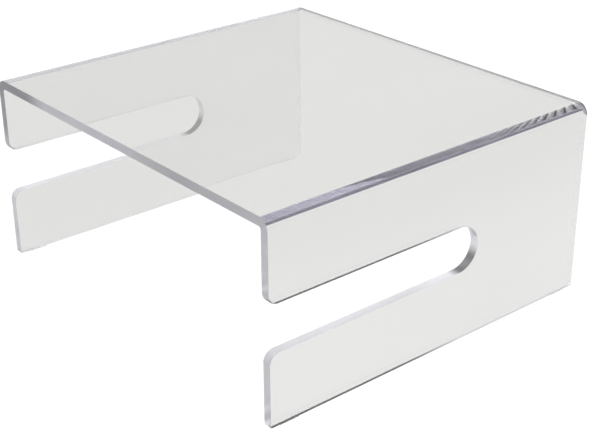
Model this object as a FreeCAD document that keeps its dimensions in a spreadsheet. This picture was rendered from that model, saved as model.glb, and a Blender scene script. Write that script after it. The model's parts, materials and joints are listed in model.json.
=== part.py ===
"""Clear monitor riser: one sheet bent into a bridge, with a keyboard slot in each leg, on four grip pads.

Millimetres. +Z is up, -Y is the front, where the keyboard slides in, and +X is the right-hand leg.
The origin is on the desk, under the middle of the riser.
"""

import FreeCAD, Part
import math
import os

import Sketcher

DRIVING_DIMENSIONS = [
    # alias, value, what it measures
    ("riser_width", 310.0, "outside faces of the two legs"),
    ("riser_depth", 278.0, "front edge to back edge"),
    ("riser_height", 140.0, "desk to the top face"),
    ("sheet_thickness", 6.35, "quarter-inch sheet"),
    ("bend_radius", 8.0, "outside of each bend"),
    ("slot_floor", 52.0, "desk to the lower edge of the slot"),
    ("slot_height", 33.0, "lower edge to upper edge of the slot"),
    ("slot_length", 175.0, "front edge to the far end of the slot's round"),
    ("mouth_radius", 6.0, "rounded corners where the slot opens at the front"),
    ("pad_thickness", 1.0, "desk to the cut edge of a leg"),
    ("pad_width", 5.0, "across the leg's edge"),
    ("pad_length", 18.0, "along the leg's edge"),
    ("pad_setback", 6.0, "leg's corner to the near end of a pad"),
    ("pad_rim_radius", 0.3, "softened lower rim of a pad"),
]
TOLERANCE = 1e-4


def make_dimensions(doc):
    """Put the driving dimensions in a spreadsheet, one aliased cell each."""
    sheet = doc.addObject("Spreadsheet::Sheet", "dims")
    for row, (alias, value, meaning) in enumerate(DRIVING_DIMENSIONS, start=1):
        sheet.set(f"A{row}", alias)
        sheet.set(f"B{row}", str(value))
        sheet.set(f"C{row}", meaning)
        sheet.setAlias(f"B{row}", alias)
    doc.recompute()
    return sheet


def origin_plane(body, role):
    return next(feature for feature in body.Origin.OriginFeatures if feature.Role == role)


def new_sketch(body, name, role):
    """Start a sketch on one of the body's own origin planes."""
    sketch = body.newObject("Sketcher::SketchObject", name)
    sketch.AttachmentSupport = [(origin_plane(body, role), "")]
    sketch.MapMode = "FlatFace"
    return sketch


def add_polygon(sketch, points):
    """Draw a closed outline of lines, joined at their ends, each upright or level."""
    count = len(points)
    for index in range(count):
        start = FreeCAD.Vector(*points[index], 0)
        end = FreeCAD.Vector(*points[(index + 1) % count], 0)
        line = sketch.addGeometry(Part.LineSegment(start, end))
        upright = abs(start.x - end.x) < TOLERANCE
        sketch.addConstraint(Sketcher.Constraint("Vertical" if upright else "Horizontal", line))
    for index in range(count):
        sketch.addConstraint(Sketcher.Constraint("Coincident", index, 2, (index + 1) % count, 1))


def bind(sketch, kind, references, name, expression):
    """Add a sized constraint, already at its size, and tie it to the spreadsheet."""
    size = float(sketch.evalExpression(expression))
    number = sketch.addConstraint(Sketcher.Constraint(kind, *references, size))
    sketch.renameConstraint(number, name)
    sketch.setExpression(f"Constraints.{name}", expression)


def edges_along_y(shape, x_positions, z_position):
    """Names of the edges that run from front to back at the given places."""
    names = []
    for number, edge in enumerate(shape.Edges, start=1):
        box = edge.BoundBox
        runs_along_y = box.XLength < TOLERANCE and box.ZLength < TOLERANCE
        at_height = abs(box.ZMin - z_position) < TOLERANCE
        at_side = any(abs(box.XMin - x) < TOLERANCE for x in x_positions)
        if runs_along_y and at_height and at_side:
            names.append(f"Edge{number}")
    return names


def bridge_profile(body, dims):
    """Front outline of the sheet before its bends are rounded: a wide, square-cornered bridge."""
    half = dims.riser_width / 2
    sheet = dims.sheet_thickness
    top = dims.riser_height
    foot = dims.pad_thickness
    points = [
        (-half, foot), (-half, top), (half, top), (half, foot),
        (half - sheet, foot), (half - sheet, top - sheet),
        (-half + sheet, top - sheet), (-half + sheet, foot),
    ]
    sketch = new_sketch(body, "bridge_profile", "XZ_Plane")
    add_polygon(sketch, points)
    left_outside, top_outside, right_outside = 0, 1, 2
    right_edge, top_inside, left_edge = 3, 5, 7
    bind(sketch, "DistanceX", (left_outside, 1, -1, 1), "half_width", "dims.riser_width / 2")
    bind(sketch, "DistanceX", (top_outside, 1, top_outside, 2), "width", "dims.riser_width")
    bind(sketch, "DistanceY", (-1, 1, left_outside, 1), "foot", "dims.pad_thickness")
    bind(sketch, "DistanceY", (-1, 1, top_outside, 1), "height", "dims.riser_height")
    bind(sketch, "DistanceY", (-1, 1, right_outside, 2), "right_foot", "dims.pad_thickness")
    bind(sketch, "DistanceX", (right_edge, 2, right_edge, 1), "right_sheet", "dims.sheet_thickness")
    bind(sketch, "DistanceX", (left_edge, 2, left_edge, 1), "left_sheet", "dims.sheet_thickness")
    bind(sketch, "DistanceY", (top_inside, 1, right_outside, 1), "top_sheet", "dims.sheet_thickness")
    return sketch


def slot_profile(body, dims):
    """Side outline of the keyboard slot: open past the front edge, a full round at the far end."""
    front = -dims.riser_depth / 2
    radius = dims.slot_height / 2
    centre_y = front + dims.slot_length - radius
    floor = dims.slot_floor
    ceiling = floor + dims.slot_height
    mouth = front - radius
    sketch = new_sketch(body, "slot_profile", "YZ_Plane")
    corners = [(centre_y, ceiling), (mouth, ceiling), (mouth, floor), (centre_y, floor)]
    for start, end in zip(corners, corners[1:]):
        sketch.addGeometry(Part.LineSegment(FreeCAD.Vector(*start, 0), FreeCAD.Vector(*end, 0)))
    upper, opening, lower, far_end = 0, 1, 2, 3
    circle = Part.Circle(FreeCAD.Vector(centre_y, floor + radius, 0), FreeCAD.Vector(0, 0, 1), radius)
    sketch.addGeometry(Part.ArcOfCircle(circle, -math.pi / 2, math.pi / 2))
    sketch.addConstraint(Sketcher.Constraint("Coincident", upper, 2, opening, 1))
    sketch.addConstraint(Sketcher.Constraint("Coincident", opening, 2, lower, 1))
    sketch.addConstraint(Sketcher.Constraint("Horizontal", upper))
    sketch.addConstraint(Sketcher.Constraint("Vertical", opening))
    sketch.addConstraint(Sketcher.Constraint("Horizontal", lower))
    sketch.addConstraint(Sketcher.Constraint("Tangent", lower, 2, far_end, 1))
    sketch.addConstraint(Sketcher.Constraint("Tangent", far_end, 2, upper, 1))
    bind(sketch, "Radius", (far_end,), "round", "dims.slot_height / 2")
    bind(sketch, "DistanceY", (-1, 1, lower, 1), "floor", "dims.slot_floor")
    bind(sketch, "DistanceX", (opening, 1, -1, 1), "mouth", "dims.riser_depth / 2 + dims.slot_height / 2")
    bind(sketch, "DistanceX", (-1, 1, far_end, 3), "round_centre",
         "dims.slot_length - dims.slot_height / 2 - dims.riser_depth / 2")
    return sketch


def mouth_corner_edges(shape, dims):
    """Names of the four edges across the sheet where the slots meet the front edge."""
    heights = (dims.slot_floor, dims.slot_floor + dims.slot_height)
    names = []
    for number, edge in enumerate(shape.Edges, start=1):
        box = edge.BoundBox
        crosses_sheet = box.YLength < TOLERANCE and box.ZLength < TOLERANCE
        at_front = abs(box.YMin + dims.riser_depth / 2) < TOLERANCE
        at_slot = any(abs(box.ZMin - height) < TOLERANCE for height in heights)
        if crosses_sheet and at_front and at_slot:
            names.append(f"Edge{number}")
    return names


def add_fillet(doc, body, base, name, edge_names, expected, radius_expression):
    """Round the named edges of a feature, with a radius tied to the spreadsheet."""
    if len(edge_names) != expected:
        raise RuntimeError(f"{name}: found {len(edge_names)} edges, expected {expected}")
    fillet = body.newObject("PartDesign::Fillet", name)
    fillet.Base = (base, edge_names)
    fillet.setExpression("Radius", radius_expression)
    doc.recompute()
    return fillet


def make_bridge_sheet(doc, dims):
    """The one bent sheet: a flat top and two legs, with a slot through each leg."""
    body = doc.addObject("PartDesign::Body", "bridge_sheet")
    body.Label = "bridge_sheet"

    pad = body.newObject("PartDesign::Pad", "sheet_pad")
    pad.Profile = bridge_profile(body, dims)
    pad.SideType = "Symmetric"
    pad.setExpression("Length", "dims.riser_depth")
    doc.recompute()

    half = dims.riser_width / 2
    sheet = dims.sheet_thickness
    top = dims.riser_height
    outer = edges_along_y(pad.Shape, (-half, half), top)
    outer_bends = add_fillet(doc, body, pad, "outer_bends", outer, 2, "dims.bend_radius")
    inner_sides = (-half + sheet, half - sheet)
    inner = edges_along_y(outer_bends.Shape, inner_sides, top - sheet)
    bends = add_fillet(doc, body, outer_bends, "inner_bends", inner, 2,
                       "dims.bend_radius - dims.sheet_thickness")

    slots = body.newObject("PartDesign::Pocket", "keyboard_slots")
    slots.Profile = slot_profile(body, dims)
    slots.SideType = "Symmetric"
    slots.setExpression("Length", "2 * dims.riser_width")
    doc.recompute()
    check_removed(bends.Shape, slots.Shape, expected_slot_volume(dims))

    mouth = mouth_corner_edges(slots.Shape, dims)
    add_fillet(doc, body, slots, "slot_mouth_corners", mouth, 4, "dims.mouth_radius")
    return body


def expected_slot_volume(dims):
    """Volume of the two slots: a rectangle ending in half a disc, through the sheet."""
    radius = dims.slot_height / 2
    area = (dims.slot_length - radius) * dims.slot_height + math.pi * radius ** 2 / 2
    return 2 * area * dims.sheet_thickness


def check_removed(before, after, expected):
    """Stop if the pocket missed the legs or cut more than the slots."""
    removed = before.Volume - after.Volume
    if abs(removed - expected) > 0.001 * expected:
        raise RuntimeError(f"slots removed {removed:.1f} mm3, expected {expected:.1f} mm3")


def pad_profile(body, dims):
    """Top view of a grip pad: a strip with round ends, lying along Y about the sketch's origin."""
    radius = dims.pad_width / 2
    reach = dims.pad_length / 2 - radius
    sketch = new_sketch(body, "pad_profile", "XY_Plane")
    up = FreeCAD.Vector(0, 0, 1)
    right = sketch.addGeometry(
        Part.LineSegment(FreeCAD.Vector(radius, -reach, 0), FreeCAD.Vector(radius, reach, 0)))
    back_circle = Part.Circle(FreeCAD.Vector(0, reach, 0), up, radius)
    back = sketch.addGeometry(Part.ArcOfCircle(back_circle, 0, math.pi))
    left = sketch.addGeometry(
        Part.LineSegment(FreeCAD.Vector(-radius, reach, 0), FreeCAD.Vector(-radius, -reach, 0)))
    front_circle = Part.Circle(FreeCAD.Vector(0, -reach, 0), up, radius)
    front = sketch.addGeometry(Part.ArcOfCircle(front_circle, math.pi, 2 * math.pi))
    ring = (right, back, left, front)
    for current, following in zip(ring, ring[1:] + ring[:1]):
        sketch.addConstraint(Sketcher.Constraint("Tangent", current, 2, following, 1))
    sketch.addConstraint(Sketcher.Constraint("Vertical", right))
    sketch.addConstraint(Sketcher.Constraint("Symmetric", back, 3, front, 3, -1, 1))
    bind(sketch, "Radius", (back,), "end_round", "dims.pad_width / 2")
    bind(sketch, "DistanceY", (front, 3, back, 3), "end_spacing", "dims.pad_length - dims.pad_width")
    return sketch


def lower_rim_edges(shape):
    """Names of the edges that lie on the desk."""
    names = []
    for number, edge in enumerate(shape.Edges, start=1):
        if abs(edge.BoundBox.ZMax) < TOLERANCE:
            names.append(f"Edge{number}")
    return names


def make_grip_pad(doc, dims, label, side, end):
    """One clear adhesive pad under a leg; side is -1 for the left leg, end is -1 for the front."""
    body = doc.addObject("PartDesign::Body", label)
    body.Label = label
    pad = body.newObject("PartDesign::Pad", f"{label}_strip")
    pad.Profile = pad_profile(body, dims)
    pad.setExpression("Length", "dims.pad_thickness")
    doc.recompute()
    rim_edge_count = 4
    add_fillet(doc, body, pad, f"{label}_rim", lower_rim_edges(pad.Shape), rim_edge_count,
               "dims.pad_rim_radius")
    body.setExpression("Placement.Base.x", f"{side} * (dims.riser_width - dims.sheet_thickness) / 2")
    body.setExpression(
        "Placement.Base.y",
        f"{end} * (dims.riser_depth / 2 - dims.pad_setback - dims.pad_length / 2)")
    doc.recompute()
    return body


def check_document(doc, sub_parts):
    """Stop on any failed object, or any sub-part that isn't one valid solid."""
    for item in doc.Objects:
        if "Invalid" in item.State or "Error" in item.State:
            raise RuntimeError(f"{item.Name} failed: {item.State}")
    for sub_part in sub_parts:
        shape = sub_part.Shape
        if shape.isNull() or not shape.isValid() or len(shape.Solids) != 1:
            raise RuntimeError(f"{sub_part.Label} isn't one valid solid")


def main():
    doc = FreeCAD.newDocument("monitor_riser")
    dims = make_dimensions(doc)
    sub_parts = [make_bridge_sheet(doc, dims)]
    for side_name, side in (("left", -1), ("right", 1)):
        for end_name, end in (("front", -1), ("back", 1)):
            label = f"grip_pad_{end_name}_{side_name}"
            sub_parts.append(make_grip_pad(doc, dims, label, side, end))
    doc.recompute()
    check_document(doc, sub_parts)

    os.makedirs("parts", exist_ok=True)
    for sub_part in sub_parts:
        sub_part.Shape.exportStep(f"parts/{sub_part.Label}.step")
        box = sub_part.Shape.BoundBox
        print(f"{sub_part.Label}: {sub_part.Shape.Volume:.1f} mm3, "
              f"x {box.XMin:.2f} to {box.XMax:.2f}, y {box.YMin:.2f} to {box.YMax:.2f}, "
              f"z {box.ZMin:.2f} to {box.ZMax:.2f}")


main()
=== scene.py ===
"""Clear bent-sheet monitor riser, seen from the front right in a white studio."""

import json
import math

import bmesh
import bpy
from mathutils import Matrix, Vector


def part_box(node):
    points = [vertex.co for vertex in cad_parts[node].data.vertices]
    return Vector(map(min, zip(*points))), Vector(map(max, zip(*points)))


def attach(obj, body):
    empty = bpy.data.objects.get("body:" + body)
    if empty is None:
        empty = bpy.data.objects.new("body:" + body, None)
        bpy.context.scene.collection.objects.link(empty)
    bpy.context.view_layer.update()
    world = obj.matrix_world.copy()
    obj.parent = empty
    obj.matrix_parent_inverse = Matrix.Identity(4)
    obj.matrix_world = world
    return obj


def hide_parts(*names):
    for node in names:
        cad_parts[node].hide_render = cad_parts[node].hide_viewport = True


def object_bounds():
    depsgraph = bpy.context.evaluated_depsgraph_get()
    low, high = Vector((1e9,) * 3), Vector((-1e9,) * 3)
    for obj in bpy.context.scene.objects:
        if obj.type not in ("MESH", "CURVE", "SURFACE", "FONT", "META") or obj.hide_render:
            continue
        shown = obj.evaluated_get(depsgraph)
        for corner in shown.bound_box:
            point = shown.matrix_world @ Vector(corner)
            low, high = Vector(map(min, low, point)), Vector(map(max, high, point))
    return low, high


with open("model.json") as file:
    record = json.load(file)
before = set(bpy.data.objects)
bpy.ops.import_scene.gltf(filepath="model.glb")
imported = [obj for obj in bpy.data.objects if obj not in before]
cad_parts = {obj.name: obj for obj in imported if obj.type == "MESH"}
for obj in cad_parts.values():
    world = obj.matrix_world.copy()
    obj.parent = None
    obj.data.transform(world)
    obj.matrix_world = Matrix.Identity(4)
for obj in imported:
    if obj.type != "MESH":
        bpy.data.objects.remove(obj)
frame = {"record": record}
cad_low, cad_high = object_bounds()

# Sizes that the frame doesn't state, in metres.
BEND_RADIUS = 0.008
MOUTH_RADIUS = 0.006
CORNER_RADIUS = 0.0006
OPENING_CLEARANCE = 0.0005
ARRIS = 0.0007
PAD_RIM = 0.0003
FLOOR_GAP = 0.0002
FLOOR_HALF = 12.0
SAME_POINT = 2e-6

# Shares of the inner round that carries the band of painted shade, and of the cut edges painted dark as a
# painted reflection of the dark desk.
BEND_SHADE_SHARE = 0.65
LEG_DARK_SHARE = 0.6
SHELF_DARK_SHARE = 0.3

# How squarely a face of the flat blank looks along an axis: a broad face, a turned face, a cut edge.
BROAD = 0.99
TURNED = 0.3
EDGE_ON = 0.1

# Places of the sheet's materials.
FACE, CUT_EDGE, PAINTED_BEND_SHADE, PAINTED_DARK_EDGE = range(4)

# How finely round shapes are cut.
BEND_STEPS = 28
SLOT_END_STEPS = 20
SMALL_ARC_STEPS = 8
ARRIS_STEPS = 3

# The camera: degrees, riser heights, and millimetres of lens on a 36 mm sensor.
VIEW_AZIMUTH = 50.41
VIEW_ELEVATION = 25.71
VIEW_ROLL = -0.45
VIEW_DISTANCE = 6.938
AIM_RIGHT = 0.052
AIM_UP = 0.2624
LENS = 79.30

ACRYLIC_IOR = 1.49
RUBBER_IOR = 1.48

# Brightness of the floor where it is seen through the sheet or mirrored, against where it is seen directly.
THROUGH_FLOOR = 0.74

# Grey of the sky by the sine of its height: a white horizon, a grey vault, a white ceiling.
SKY = ((0.0, 0.82), (0.6, 0.82), (0.66, 0.12), (0.93, 0.12), (1.0, 0.8))

# How often light may turn: inside the clear sheet, and between dull surfaces.
CLEAR_BOUNCES = 128
DULL_BOUNCES = 3


# ---------------------------------------------------------------- shape of the sheet

class Sheet:
    """The bent sheet's sizes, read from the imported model."""

    def __init__(self):
        low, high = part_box("bridge_sheet")
        self.half_width = high[0]
        self.front = low[1]
        self.back = high[1]
        self.foot = low[2]
        self.top = high[2]
        # A pad runs along the middle of a leg's thickness.
        pad_low, pad_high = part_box("grip_pad_front_right")
        pad_centre = (pad_low[0] + pad_high[0]) / 2
        self.thickness = 2 * (self.half_width - pad_centre)
        openings = {row["name"]: row["box_m"] for row in frame["record"]["physics"]["openings"]}
        slot_low, slot_high = openings["keyboard_slot_right"]
        self.slot_floor = slot_low[2] - OPENING_CLEARANCE
        self.slot_ceiling = slot_high[2] + OPENING_CLEARANCE
        self.slot_round = (self.slot_ceiling - self.slot_floor) / 2
        self.slot_end = slot_high[1] + self.slot_round
        self.flat_half = self.half_width - BEND_RADIUS
        self.bend_length = BEND_RADIUS * math.pi / 2

    def along(self, height):
        """Distance from the centre line, along the outer face, to a height on a leg."""
        return self.flat_half + self.bend_length + self.top - BEND_RADIUS - height

    def bent(self, along, y, depth):
        """Place of a point of the flat blank once it is bent; depth is measured in from the outer face."""
        side = math.copysign(1.0, along)
        reach = abs(along)
        if reach <= self.flat_half:
            x, z = reach, self.top - depth
        elif reach <= self.flat_half + self.bend_length:
            angle = (reach - self.flat_half) / BEND_RADIUS
            radius = BEND_RADIUS - depth
            x = self.flat_half + radius * math.sin(angle)
            z = self.top - BEND_RADIUS + radius * math.cos(angle)
        else:
            x = self.half_width - depth
            z = self.top - BEND_RADIUS - (reach - self.flat_half - self.bend_length)
        return Vector((side * x, y, z))


def rounded_outline(corners):
    """Points round a closed outline of level and upright runs; corners are (x, y, radius, steps)."""
    points = []
    count = len(corners)
    for index in range(count):
        before = Vector(corners[index - 1][:2])
        corner = Vector(corners[index][:2])
        after = Vector(corners[(index + 1) % count][:2])
        radius, steps = corners[index][2:]
        inward = (before - corner).normalized()
        outward = (after - corner).normalized()
        centre = corner + radius * (inward + outward)
        for step in range(steps + 1):
            turn = math.pi / 2 * step / steps
            points.append(centre - radius * (outward * math.cos(turn) + inward * math.sin(turn)))
    return points


def drop_repeats(points, gap=1e-7):
    """Leave out points that lie on the one before, as where two quarter rounds meet."""
    return [point for index, point in enumerate(points) if (point - points[index - 1]).length > gap]


def blank_outline(sheet):
    """The flat blank before bending, seen on its outer face: along the profile, then front to back."""
    foot = sheet.along(sheet.foot)
    below = sheet.along(sheet.slot_floor)
    above = sheet.along(sheet.slot_ceiling)
    small = (CORNER_RADIUS, SMALL_ARC_STEPS)
    mouth = (MOUTH_RADIUS, SMALL_ARC_STEPS)
    end = (sheet.slot_round, SLOT_END_STEPS)
    right_half = [
        (above, sheet.front, *mouth), (above, sheet.slot_end, *end),
        (below, sheet.slot_end, *end), (below, sheet.front, *mouth),
        (foot, sheet.front, *small), (foot, sheet.back, *small),
    ]
    left_half = [(-along, y, radius, steps) for along, y, radius, steps in reversed(right_half)]
    return drop_repeats(rounded_outline(right_half + left_half))


def extrude_outline(points, thickness, arris):
    """A flat slab with rounded arrises: outer face at depth 0, inner face at depth thickness."""
    bm = bmesh.new()
    outer = [bm.verts.new((point.x, point.y, 0.0)) for point in points]
    inner = [bm.verts.new((point.x, point.y, thickness)) for point in points]
    bm.faces.new(outer)
    bm.faces.new(list(reversed(inner)))
    count = len(points)
    for index in range(count):
        following = (index + 1) % count
        bm.faces.new((outer[following], outer[index], inner[index], inner[following]))
    arrises = [edge for edge in bm.edges if abs(edge.verts[0].co.z - edge.verts[1].co.z) < thickness / 2]
    bmesh.ops.bevel(bm, geom=arrises, offset=arris, segments=ARRIS_STEPS, profile=0.5, affect="EDGES",
                    clamp_overlap=True)
    bmesh.ops.remove_doubles(bm, verts=bm.verts[:], dist=SAME_POINT)
    return bm


def cut_across(bm, faces, point, direction):
    """Split faces along a plane."""
    edges = {edge for face in faces for edge in face.edges}
    verts = {vert for face in faces for vert in face.verts}
    bmesh.ops.bisect_plane(bm, geom=[*verts, *edges, *faces], plane_co=point, plane_no=direction)


def number_alike(bm):
    """Number points and faces by their places, because cutting leaves them in another order each run."""
    for parts, place in (
        (bm.verts, lambda vert: vert.co[:]),
        (bm.faces, lambda face: face.calc_center_median()[:]),
    ):
        rank = {part: index for index, part in enumerate(sorted(parts, key=place))}
        parts.sort(key=rank.get)


def is_under_right_leg(face):
    """On the blank: the right leg's foot, or the edge above its slot."""
    return face.normal.x > TURNED and face.calc_center_median().x > 0


def is_at_back(face):
    """On the blank: the back edge of the shelf and the legs."""
    return face.normal.y > TURNED


def sheet_material(sheet, face):
    """Which material a face of the flat blank takes, from its place and the way it looks."""
    centre = face.calc_center_median()
    reach = abs(centre.x)
    depth_share = centre.z / sheet.thickness
    if abs(face.normal.z) > BROAD:
        # Most of the inner face of each bend takes the band of painted shade.
        on_line = 0 < reach - sheet.flat_half < BEND_SHADE_SHARE * sheet.bend_length
        return PAINTED_BEND_SHADE if on_line and depth_share > 0.5 else FACE
    # The outer part of the edges under the right leg and at the shelf's back takes painted dark.
    if is_under_right_leg(face) and depth_share < LEG_DARK_SHARE:
        return PAINTED_DARK_EDGE
    if is_at_back(face):
        if reach > sheet.flat_half + sheet.bend_length:
            return FACE
        if depth_share < SHELF_DARK_SHARE:
            return PAINTED_DARK_EDGE
    return CUT_EDGE


def build_sheet(sheet):
    """Cut the blank, round its arrises, and bend it over at the two heated lines."""
    bm = extrude_outline(blank_outline(sheet), sheet.thickness, ARRIS)
    for side in (-1, 1):
        for step in range(BEND_STEPS + 1):
            along = side * (sheet.flat_half + sheet.bend_length * step / BEND_STEPS)
            cut_across(bm, bm.faces[:], (along, 0, 0), (1, 0, 0))
    bmesh.ops.recalc_face_normals(bm, faces=bm.faces[:])
    for share, is_dark in ((LEG_DARK_SHARE, is_under_right_leg), (SHELF_DARK_SHARE, is_at_back)):
        faces = [face for face in bm.faces if abs(face.normal.z) < EDGE_ON and is_dark(face)]
        cut_across(bm, faces, (0, 0, share * sheet.thickness), (0, 0, 1))
    bmesh.ops.remove_doubles(bm, verts=bm.verts[:], dist=SAME_POINT)
    for face in bm.faces:
        face.material_index = sheet_material(sheet, face)
    number_alike(bm)
    for vert in bm.verts:
        vert.co = sheet.bent(*vert.co)
    materials = (acrylic_face(sheet), cut_edge(sheet), heated_line(), dark_edge(sheet))
    return clear_piece(bm, "bent_sheet", materials)


def build_pad(node):
    """A thin soft strip with round ends and softened rims, in the place of its CAD node."""
    low, high = (Vector(corner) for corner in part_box(node))
    centre = (low + high) / 2
    radius = (high.x - low.x) / 2
    reach = (high.y - low.y) / 2
    end = (radius, SLOT_END_STEPS)
    corners = [(radius, -reach, *end), (radius, reach, *end), (-radius, reach, *end), (-radius, -reach, *end)]
    bm = extrude_outline(drop_repeats(rounded_outline(corners)), high.z - low.z, PAD_RIM)
    bmesh.ops.translate(bm, verts=bm.verts[:], vec=(centre.x, centre.y, low.z))
    return clear_piece(bm, f"{node}_strip", (grip_rubber(),))


def new_object(bm, name, materials):
    """Turn finished mesh data into a shown object."""
    mesh = bpy.data.meshes.new(name)
    bm.to_mesh(mesh)
    bm.free()
    for material in materials:
        mesh.materials.append(material)
    piece = bpy.data.objects.new(name, mesh)
    bpy.context.scene.collection.objects.link(piece)
    return piece


def clear_piece(bm, name, materials):
    """A clear object, shaded smoothly, that casts no shadow and that bounced light passes by."""
    for face in bm.faces:
        face.smooth = True
    bmesh.ops.recalc_face_normals(bm, faces=bm.faces[:])
    piece = new_object(bm, name, materials)
    weigh_normals(piece)
    piece.visible_shadow = False
    piece.visible_diffuse = False
    return piece


def weigh_normals(piece):
    """Keep broad faces truly flat while the narrow rounds between them shade smoothly."""
    modifier = piece.modifiers.new("flat_faces", "WEIGHTED_NORMAL")
    modifier.mode = "FACE_AREA"
    modifier.weight = 100


# ---------------------------------------------------------------- material nodes

def new_material(name):
    material = bpy.data.materials.new(name)
    material.use_nodes = True
    shader = material.node_tree.nodes["Principled BSDF"]
    return material, material.node_tree, shader


def own_place(tree):
    """The piece's own coordinates, in metres."""
    return tree.nodes.new("ShaderNodeTexCoord").outputs["Object"]


def noise(tree, scale, detail, stretch=(1, 1, 1)):
    """Noise over the piece's own coordinates, in cycles per metre."""
    mapping = tree.nodes.new("ShaderNodeMapping")
    mapping.inputs["Scale"].default_value = stretch
    texture = tree.nodes.new("ShaderNodeTexNoise")
    texture.inputs["Scale"].default_value = scale
    texture.inputs["Detail"].default_value = detail
    tree.links.new(own_place(tree), mapping.inputs["Vector"])
    tree.links.new(mapping.outputs["Vector"], texture.inputs["Vector"])
    return texture.outputs["Fac"]


def carried_over(tree, value, places, values, run):
    """Carry a value from one range to another; run is how it goes between the two ends."""
    node = tree.nodes.new("ShaderNodeMapRange")
    node.interpolation_type = run
    node.inputs["From Min"].default_value, node.inputs["From Max"].default_value = places
    node.inputs["To Min"].default_value, node.inputs["To Max"].default_value = values
    tree.links.new(value, node.inputs["Value"])
    return node.outputs["Result"]


def between(tree, value, low, high):
    """Spread a 0 to 1 value over a range."""
    return carried_over(tree, value, (0, 1), (low, high), "LINEAR")


def along_axis(tree, axis, places, values):
    """A value that runs smoothly between two places, in metres, along an axis of the piece."""
    split = tree.nodes.new("ShaderNodeSeparateXYZ")
    tree.links.new(own_place(tree), split.inputs["Vector"])
    return carried_over(tree, split.outputs[axis], places, values, "SMOOTHSTEP")


def near_line(tree, axis, point, places, values):
    """A value by distance, in metres, from the line along an axis through a point with 0 on that axis."""
    flatten = tree.nodes.new("ShaderNodeMapping")
    flatten.inputs["Scale"].default_value = [0 if letter == axis else 1 for letter in "XYZ"]
    distance = tree.nodes.new("ShaderNodeVectorMath")
    distance.operation = "DISTANCE"
    distance.inputs[1].default_value = point
    tree.links.new(own_place(tree), flatten.inputs["Vector"])
    tree.links.new(flatten.outputs["Vector"], distance.inputs[0])
    return carried_over(tree, distance.outputs["Value"], places, values, "SMOOTHSTEP")


def blend_colours(tree, value, first, second):
    """One colour where a noise is low, another where it is high, and a blend over its middle."""
    ramp = tree.nodes.new("ShaderNodeValToRGB")
    for stop, position, colour in zip(ramp.color_ramp.elements, (0.3, 0.7), (first, second)):
        stop.position = position
        stop.color = (*colour, 1)
    tree.links.new(value, ramp.inputs["Fac"])
    return ramp.outputs["Color"]


def scaled(tree, colour, *factors):
    """A colour times each of some values."""
    for factor in factors:
        node = tree.nodes.new("ShaderNodeVectorMath")
        node.operation = "SCALE"
        tree.links.new(colour, node.inputs["Vector"])
        tree.links.new(factor, node.inputs["Scale"])
        colour = node.outputs["Vector"]
    return colour


def bump(tree, height, distance):
    node = tree.nodes.new("ShaderNodeBump")
    node.inputs["Distance"].default_value = distance
    node.inputs["Strength"].default_value = 1.0
    tree.links.new(height, node.inputs["Height"])
    return node.outputs["Normal"]


def add_violet_depth(tree):
    """Long paths inside the sheet, as at its cut edges, lose green and red before blue."""
    absorption = tree.nodes.new("ShaderNodeVolumeAbsorption")
    absorption.inputs["Color"].default_value = (0.62, 0.603, 0.73, 1)
    absorption.inputs["Density"].default_value = 2.4
    tree.links.new(absorption.outputs["Volume"], tree.nodes["Material Output"].inputs["Volume"])


# ---------------------------------------------------------------- materials

def acrylic_face(sheet):
    """Clear cast acrylic with a faint grey cast, with painted light making it lightest at the right foot, and
    fine wipe marks.
    """
    material, tree, shader = new_material("clear_acrylic")
    shader.inputs["Transmission Weight"].default_value = 1.0
    shader.inputs["IOR"].default_value = ACRYLIC_IOR
    tint = blend_colours(tree, noise(tree, 6, 2), (0.92, 0.92, 0.905), (0.94, 0.94, 0.925))
    # Painted light: the faces are made lighter near the right foot.
    painted_light_at_right_foot = near_line(tree, "Y", (sheet.half_width, 0, 0), (0.04, 0.135), (1.07, 1.0))
    tree.links.new(scaled(tree, tint, painted_light_at_right_foot), shader.inputs["Base Color"])
    wipe_marks = noise(tree, 40, 5, stretch=(1, 6, 1))
    tree.links.new(between(tree, wipe_marks, 0.0, 0.03), shader.inputs["Roughness"])
    add_violet_depth(tree)
    return material


def cut_edge(sheet):
    """The cut edges: satin, with faint saw ripple; painted shade darkens them at the left bend, slot ends and
    shelf's back, and painted light brightens them.
    """
    material, tree, shader = new_material("polished_edge")
    shader.inputs["Transmission Weight"].default_value = 0.5
    shader.inputs["IOR"].default_value = ACRYLIC_IOR
    tint = blend_colours(tree, noise(tree, 25, 3), (0.50, 0.495, 0.515), (0.60, 0.595, 0.615))
    bend_line = (0.010 - sheet.half_width, 0, sheet.top - 0.005)
    end_line = (0, sheet.slot_end - 0.008, sheet.slot_floor + 0.003)
    back_line = (0, sheet.back, sheet.top - 0.003)
    # Painted shade near the left bend, the slot ends and the shelf's back; painted light a little back from
    # the front, lower down and towards the right.
    painted_light_and_shade = (
        near_line(tree, "Y", bend_line, (0.025, 0.060), (0.4, 1.0)),
        near_line(tree, "X", end_line, (0.006, 0.016), (0.15, 1.0)),
        near_line(tree, "X", back_line, (0.004, 0.012), (0.5, 1.0)),
        along_axis(tree, "Y", (sheet.front + 0.002, sheet.front + 0.019), (1.0, 1.15)),
        along_axis(tree, "Z", (sheet.top - 0.020, sheet.top - BEND_RADIUS), (1.22, 1.0)),
        along_axis(tree, "X", (0.0, sheet.half_width - 0.005), (1.0, 1.15)),
    )
    tree.links.new(scaled(tree, tint, *painted_light_and_shade), shader.inputs["Base Color"])
    ripple = noise(tree, 260, 3)
    tree.links.new(between(tree, ripple, 0.27, 0.38), shader.inputs["Roughness"])
    tree.links.new(bump(tree, ripple, 0.00002), shader.inputs["Normal"])
    add_violet_depth(tree)
    return material


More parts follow.
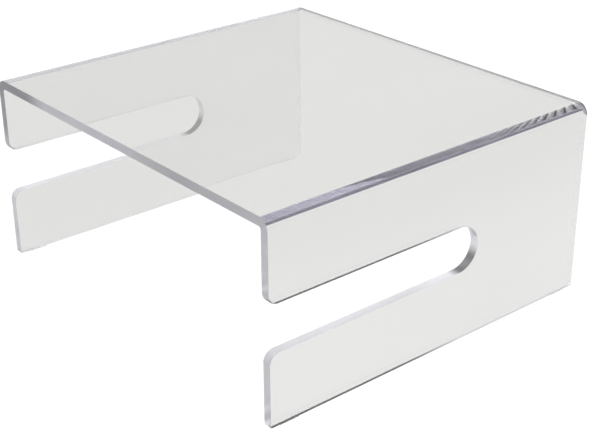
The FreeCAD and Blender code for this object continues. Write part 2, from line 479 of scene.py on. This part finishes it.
def heated_line():
    """Painted shade: a dark band on the inside of each bend, standing in for the bend's dark reflection, with
    fine streaks that follow the bend; paler at the left.
    """
    material, tree, shader = new_material("heated_line")
    shader.inputs["Transmission Weight"].default_value = 0.6
    shader.inputs["IOR"].default_value = ACRYLIC_IOR
    streaks = noise(tree, 30, 4, stretch=(9, 1, 9))
    # Painted shade: the dark colour of the band, made lighter towards the left.
    tint = blend_colours(tree, streaks, (0.11, 0.10, 0.15), (0.30, 0.29, 0.38))
    paler_left = along_axis(tree, "X", (-0.1, 0.1), (2.7, 1.0))
    tree.links.new(scaled(tree, tint, paler_left), shader.inputs["Base Color"])
    tree.links.new(between(tree, streaks, 0.1, 0.3), shader.inputs["Roughness"])
    tree.links.new(bump(tree, streaks, 0.0001), shader.inputs["Normal"])
    add_violet_depth(tree)
    return material


def dark_edge(sheet):
    """The outer part of the edges, painted dark as a painted reflection of the dark desk and of the shade
    under the riser; under the leg it clears half way back.
    """
    material, tree, shader = new_material("dark_edge")
    shader.inputs["IOR"].default_value = ACRYLIC_IOR
    shader.inputs["Roughness"].default_value = 0.12
    # Painted reflection and shade: the dark colour of these edges.
    tint = blend_colours(tree, noise(tree, 60, 3), (0.80, 0.80, 0.84), (1.0, 1.0, 1.0))
    half_way_back = along_axis(tree, "Y", (-0.03, 0.03), (0.03, 0.6))
    shelf = along_axis(tree, "Z", (sheet.top - 0.04, sheet.top - 0.01), (1.0, 0.3))
    tree.links.new(scaled(tree, tint, half_way_back, shelf), shader.inputs["Base Color"])
    return material


def grip_rubber():
    """Clear soft polyurethane, slightly cloudy."""
    material, tree, shader = new_material("clear_grip")
    shader.inputs["Transmission Weight"].default_value = 1.0
    shader.inputs["IOR"].default_value = RUBBER_IOR
    tint = blend_colours(tree, noise(tree, 120, 2), (0.90, 0.90, 0.89), (0.94, 0.94, 0.93))
    tree.links.new(tint, shader.inputs["Base Color"])
    grain = noise(tree, 900, 2)
    tree.links.new(between(tree, grain, 0.2, 0.35), shader.inputs["Roughness"])
    tree.links.new(bump(tree, grain, 0.00003), shader.inputs["Normal"])
    return material


def studio_floor():
    """Plain pale floor, dimmer through the sheet and in its gloss than where the camera sees it directly."""
    material, tree, shader = new_material("studio_floor")
    tint = blend_colours(tree, noise(tree, 3, 2), (0.88, 0.88, 0.88), (0.89, 0.89, 0.89))
    path = tree.nodes.new("ShaderNodeLightPath")
    dimming = between(tree, path.outputs["Is Camera Ray"], THROUGH_FLOOR, 1.0)
    tree.links.new(scaled(tree, tint, dimming), shader.inputs["Base Color"])
    shader.inputs["Roughness"].default_value = 0.9
    shader.inputs["Specular IOR Level"].default_value = 0.0
    return material


# ---------------------------------------------------------------- studio

def add_floor():
    bm = bmesh.new()
    bmesh.ops.create_grid(bm, x_segments=1, y_segments=1, size=FLOOR_HALF)
    bmesh.ops.translate(bm, verts=bm.verts[:], vec=(0, 0, cad_low[2] - FLOOR_GAP))
    floor = new_object(bm, "studio_floor", (studio_floor(),))


def add_world():
    """A white horizon that falls to grey above, so the gloss has something to mirror."""
    world = bpy.data.worlds.new("studio")
    bpy.context.scene.world = world
    world.use_nodes = True
    tree = world.node_tree
    place = tree.nodes.new("ShaderNodeTexCoord")
    split = tree.nodes.new("ShaderNodeSeparateXYZ")
    ramp = tree.nodes.new("ShaderNodeValToRGB")
    stops = ramp.color_ramp.elements
    stops.remove(stops[1])
    for index, (sine, grey) in enumerate(SKY):
        stop = stops.new(sine) if index else stops[0]
        stop.color = (grey, grey, grey, 1)
    tree.links.new(place.outputs["Generated"], split.inputs["Vector"])
    tree.links.new(split.outputs["Z"], ramp.inputs["Fac"])
    tree.links.new(ramp.outputs["Color"], tree.nodes["Background"].inputs["Color"])


def add_sun():
    """One very broad, soft lamp from above."""
    lamp = bpy.data.lights.new("overhead", "SUN")
    lamp.energy = 2.6
    lamp.angle = math.radians(60)
    sun = bpy.data.objects.new("overhead", lamp)
    sun.rotation_euler = (math.radians(12), math.radians(-10), 0)
    sun.visible_glossy = False
    bpy.context.scene.collection.objects.link(sun)


def add_camera():
    """Front right, a little above, turned as the riser is usually pictured."""
    azimuth = math.radians(VIEW_AZIMUTH)
    elevation = math.radians(VIEW_ELEVATION)
    roll = math.radians(VIEW_ROLL)
    back = Vector((math.sin(azimuth) * math.cos(elevation),
                   -math.cos(azimuth) * math.cos(elevation),
                   math.sin(elevation)))
    level_right = Vector((0, 0, 1)).cross(back).normalized()
    level_up = back.cross(level_right)
    right = level_right * math.cos(roll) + level_up * math.sin(roll)
    up = level_up * math.cos(roll) - level_right * math.sin(roll)
    height = cad_high[2] - cad_low[2]
    place = height * (back * VIEW_DISTANCE + right * AIM_RIGHT + up * AIM_UP)
    turn = Matrix((right, up, back)).transposed().to_4x4()
    data = bpy.data.cameras.new("camera")
    data.lens = LENS
    data.sensor_width = 36
    camera = bpy.data.objects.new("camera", data)
    camera.matrix_world = Matrix.Translation(place) @ turn
    bpy.context.scene.collection.objects.link(camera)
    bpy.context.scene.camera = camera


def set_light_paths():
    """Light runs a long way inside a clear sheet, from face to face, before it leaves at an edge."""
    scene = bpy.context.scene
    scene.cycles.max_bounces = CLEAR_BOUNCES
    scene.cycles.glossy_bounces = CLEAR_BOUNCES
    scene.cycles.transmission_bounces = CLEAR_BOUNCES
    scene.cycles.diffuse_bounces = DULL_BOUNCES
    scene.cycles.caustics_reflective = False
    scene.cycles.caustics_refractive = False
    scene.view_settings.view_transform = "Standard"


# ---------------------------------------------------------------- assembly

add_camera()
add_floor()
add_world()
add_sun()
set_light_paths()

sheet_piece = build_sheet(Sheet())
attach(sheet_piece, "root")
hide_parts("bridge_sheet")

for end in ("front", "back"):
    for side in ("left", "right"):
        pad_node = f"grip_pad_{end}_{side}"
        pad_piece = build_pad(pad_node)
        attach(pad_piece, "root")
        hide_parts(pad_node)
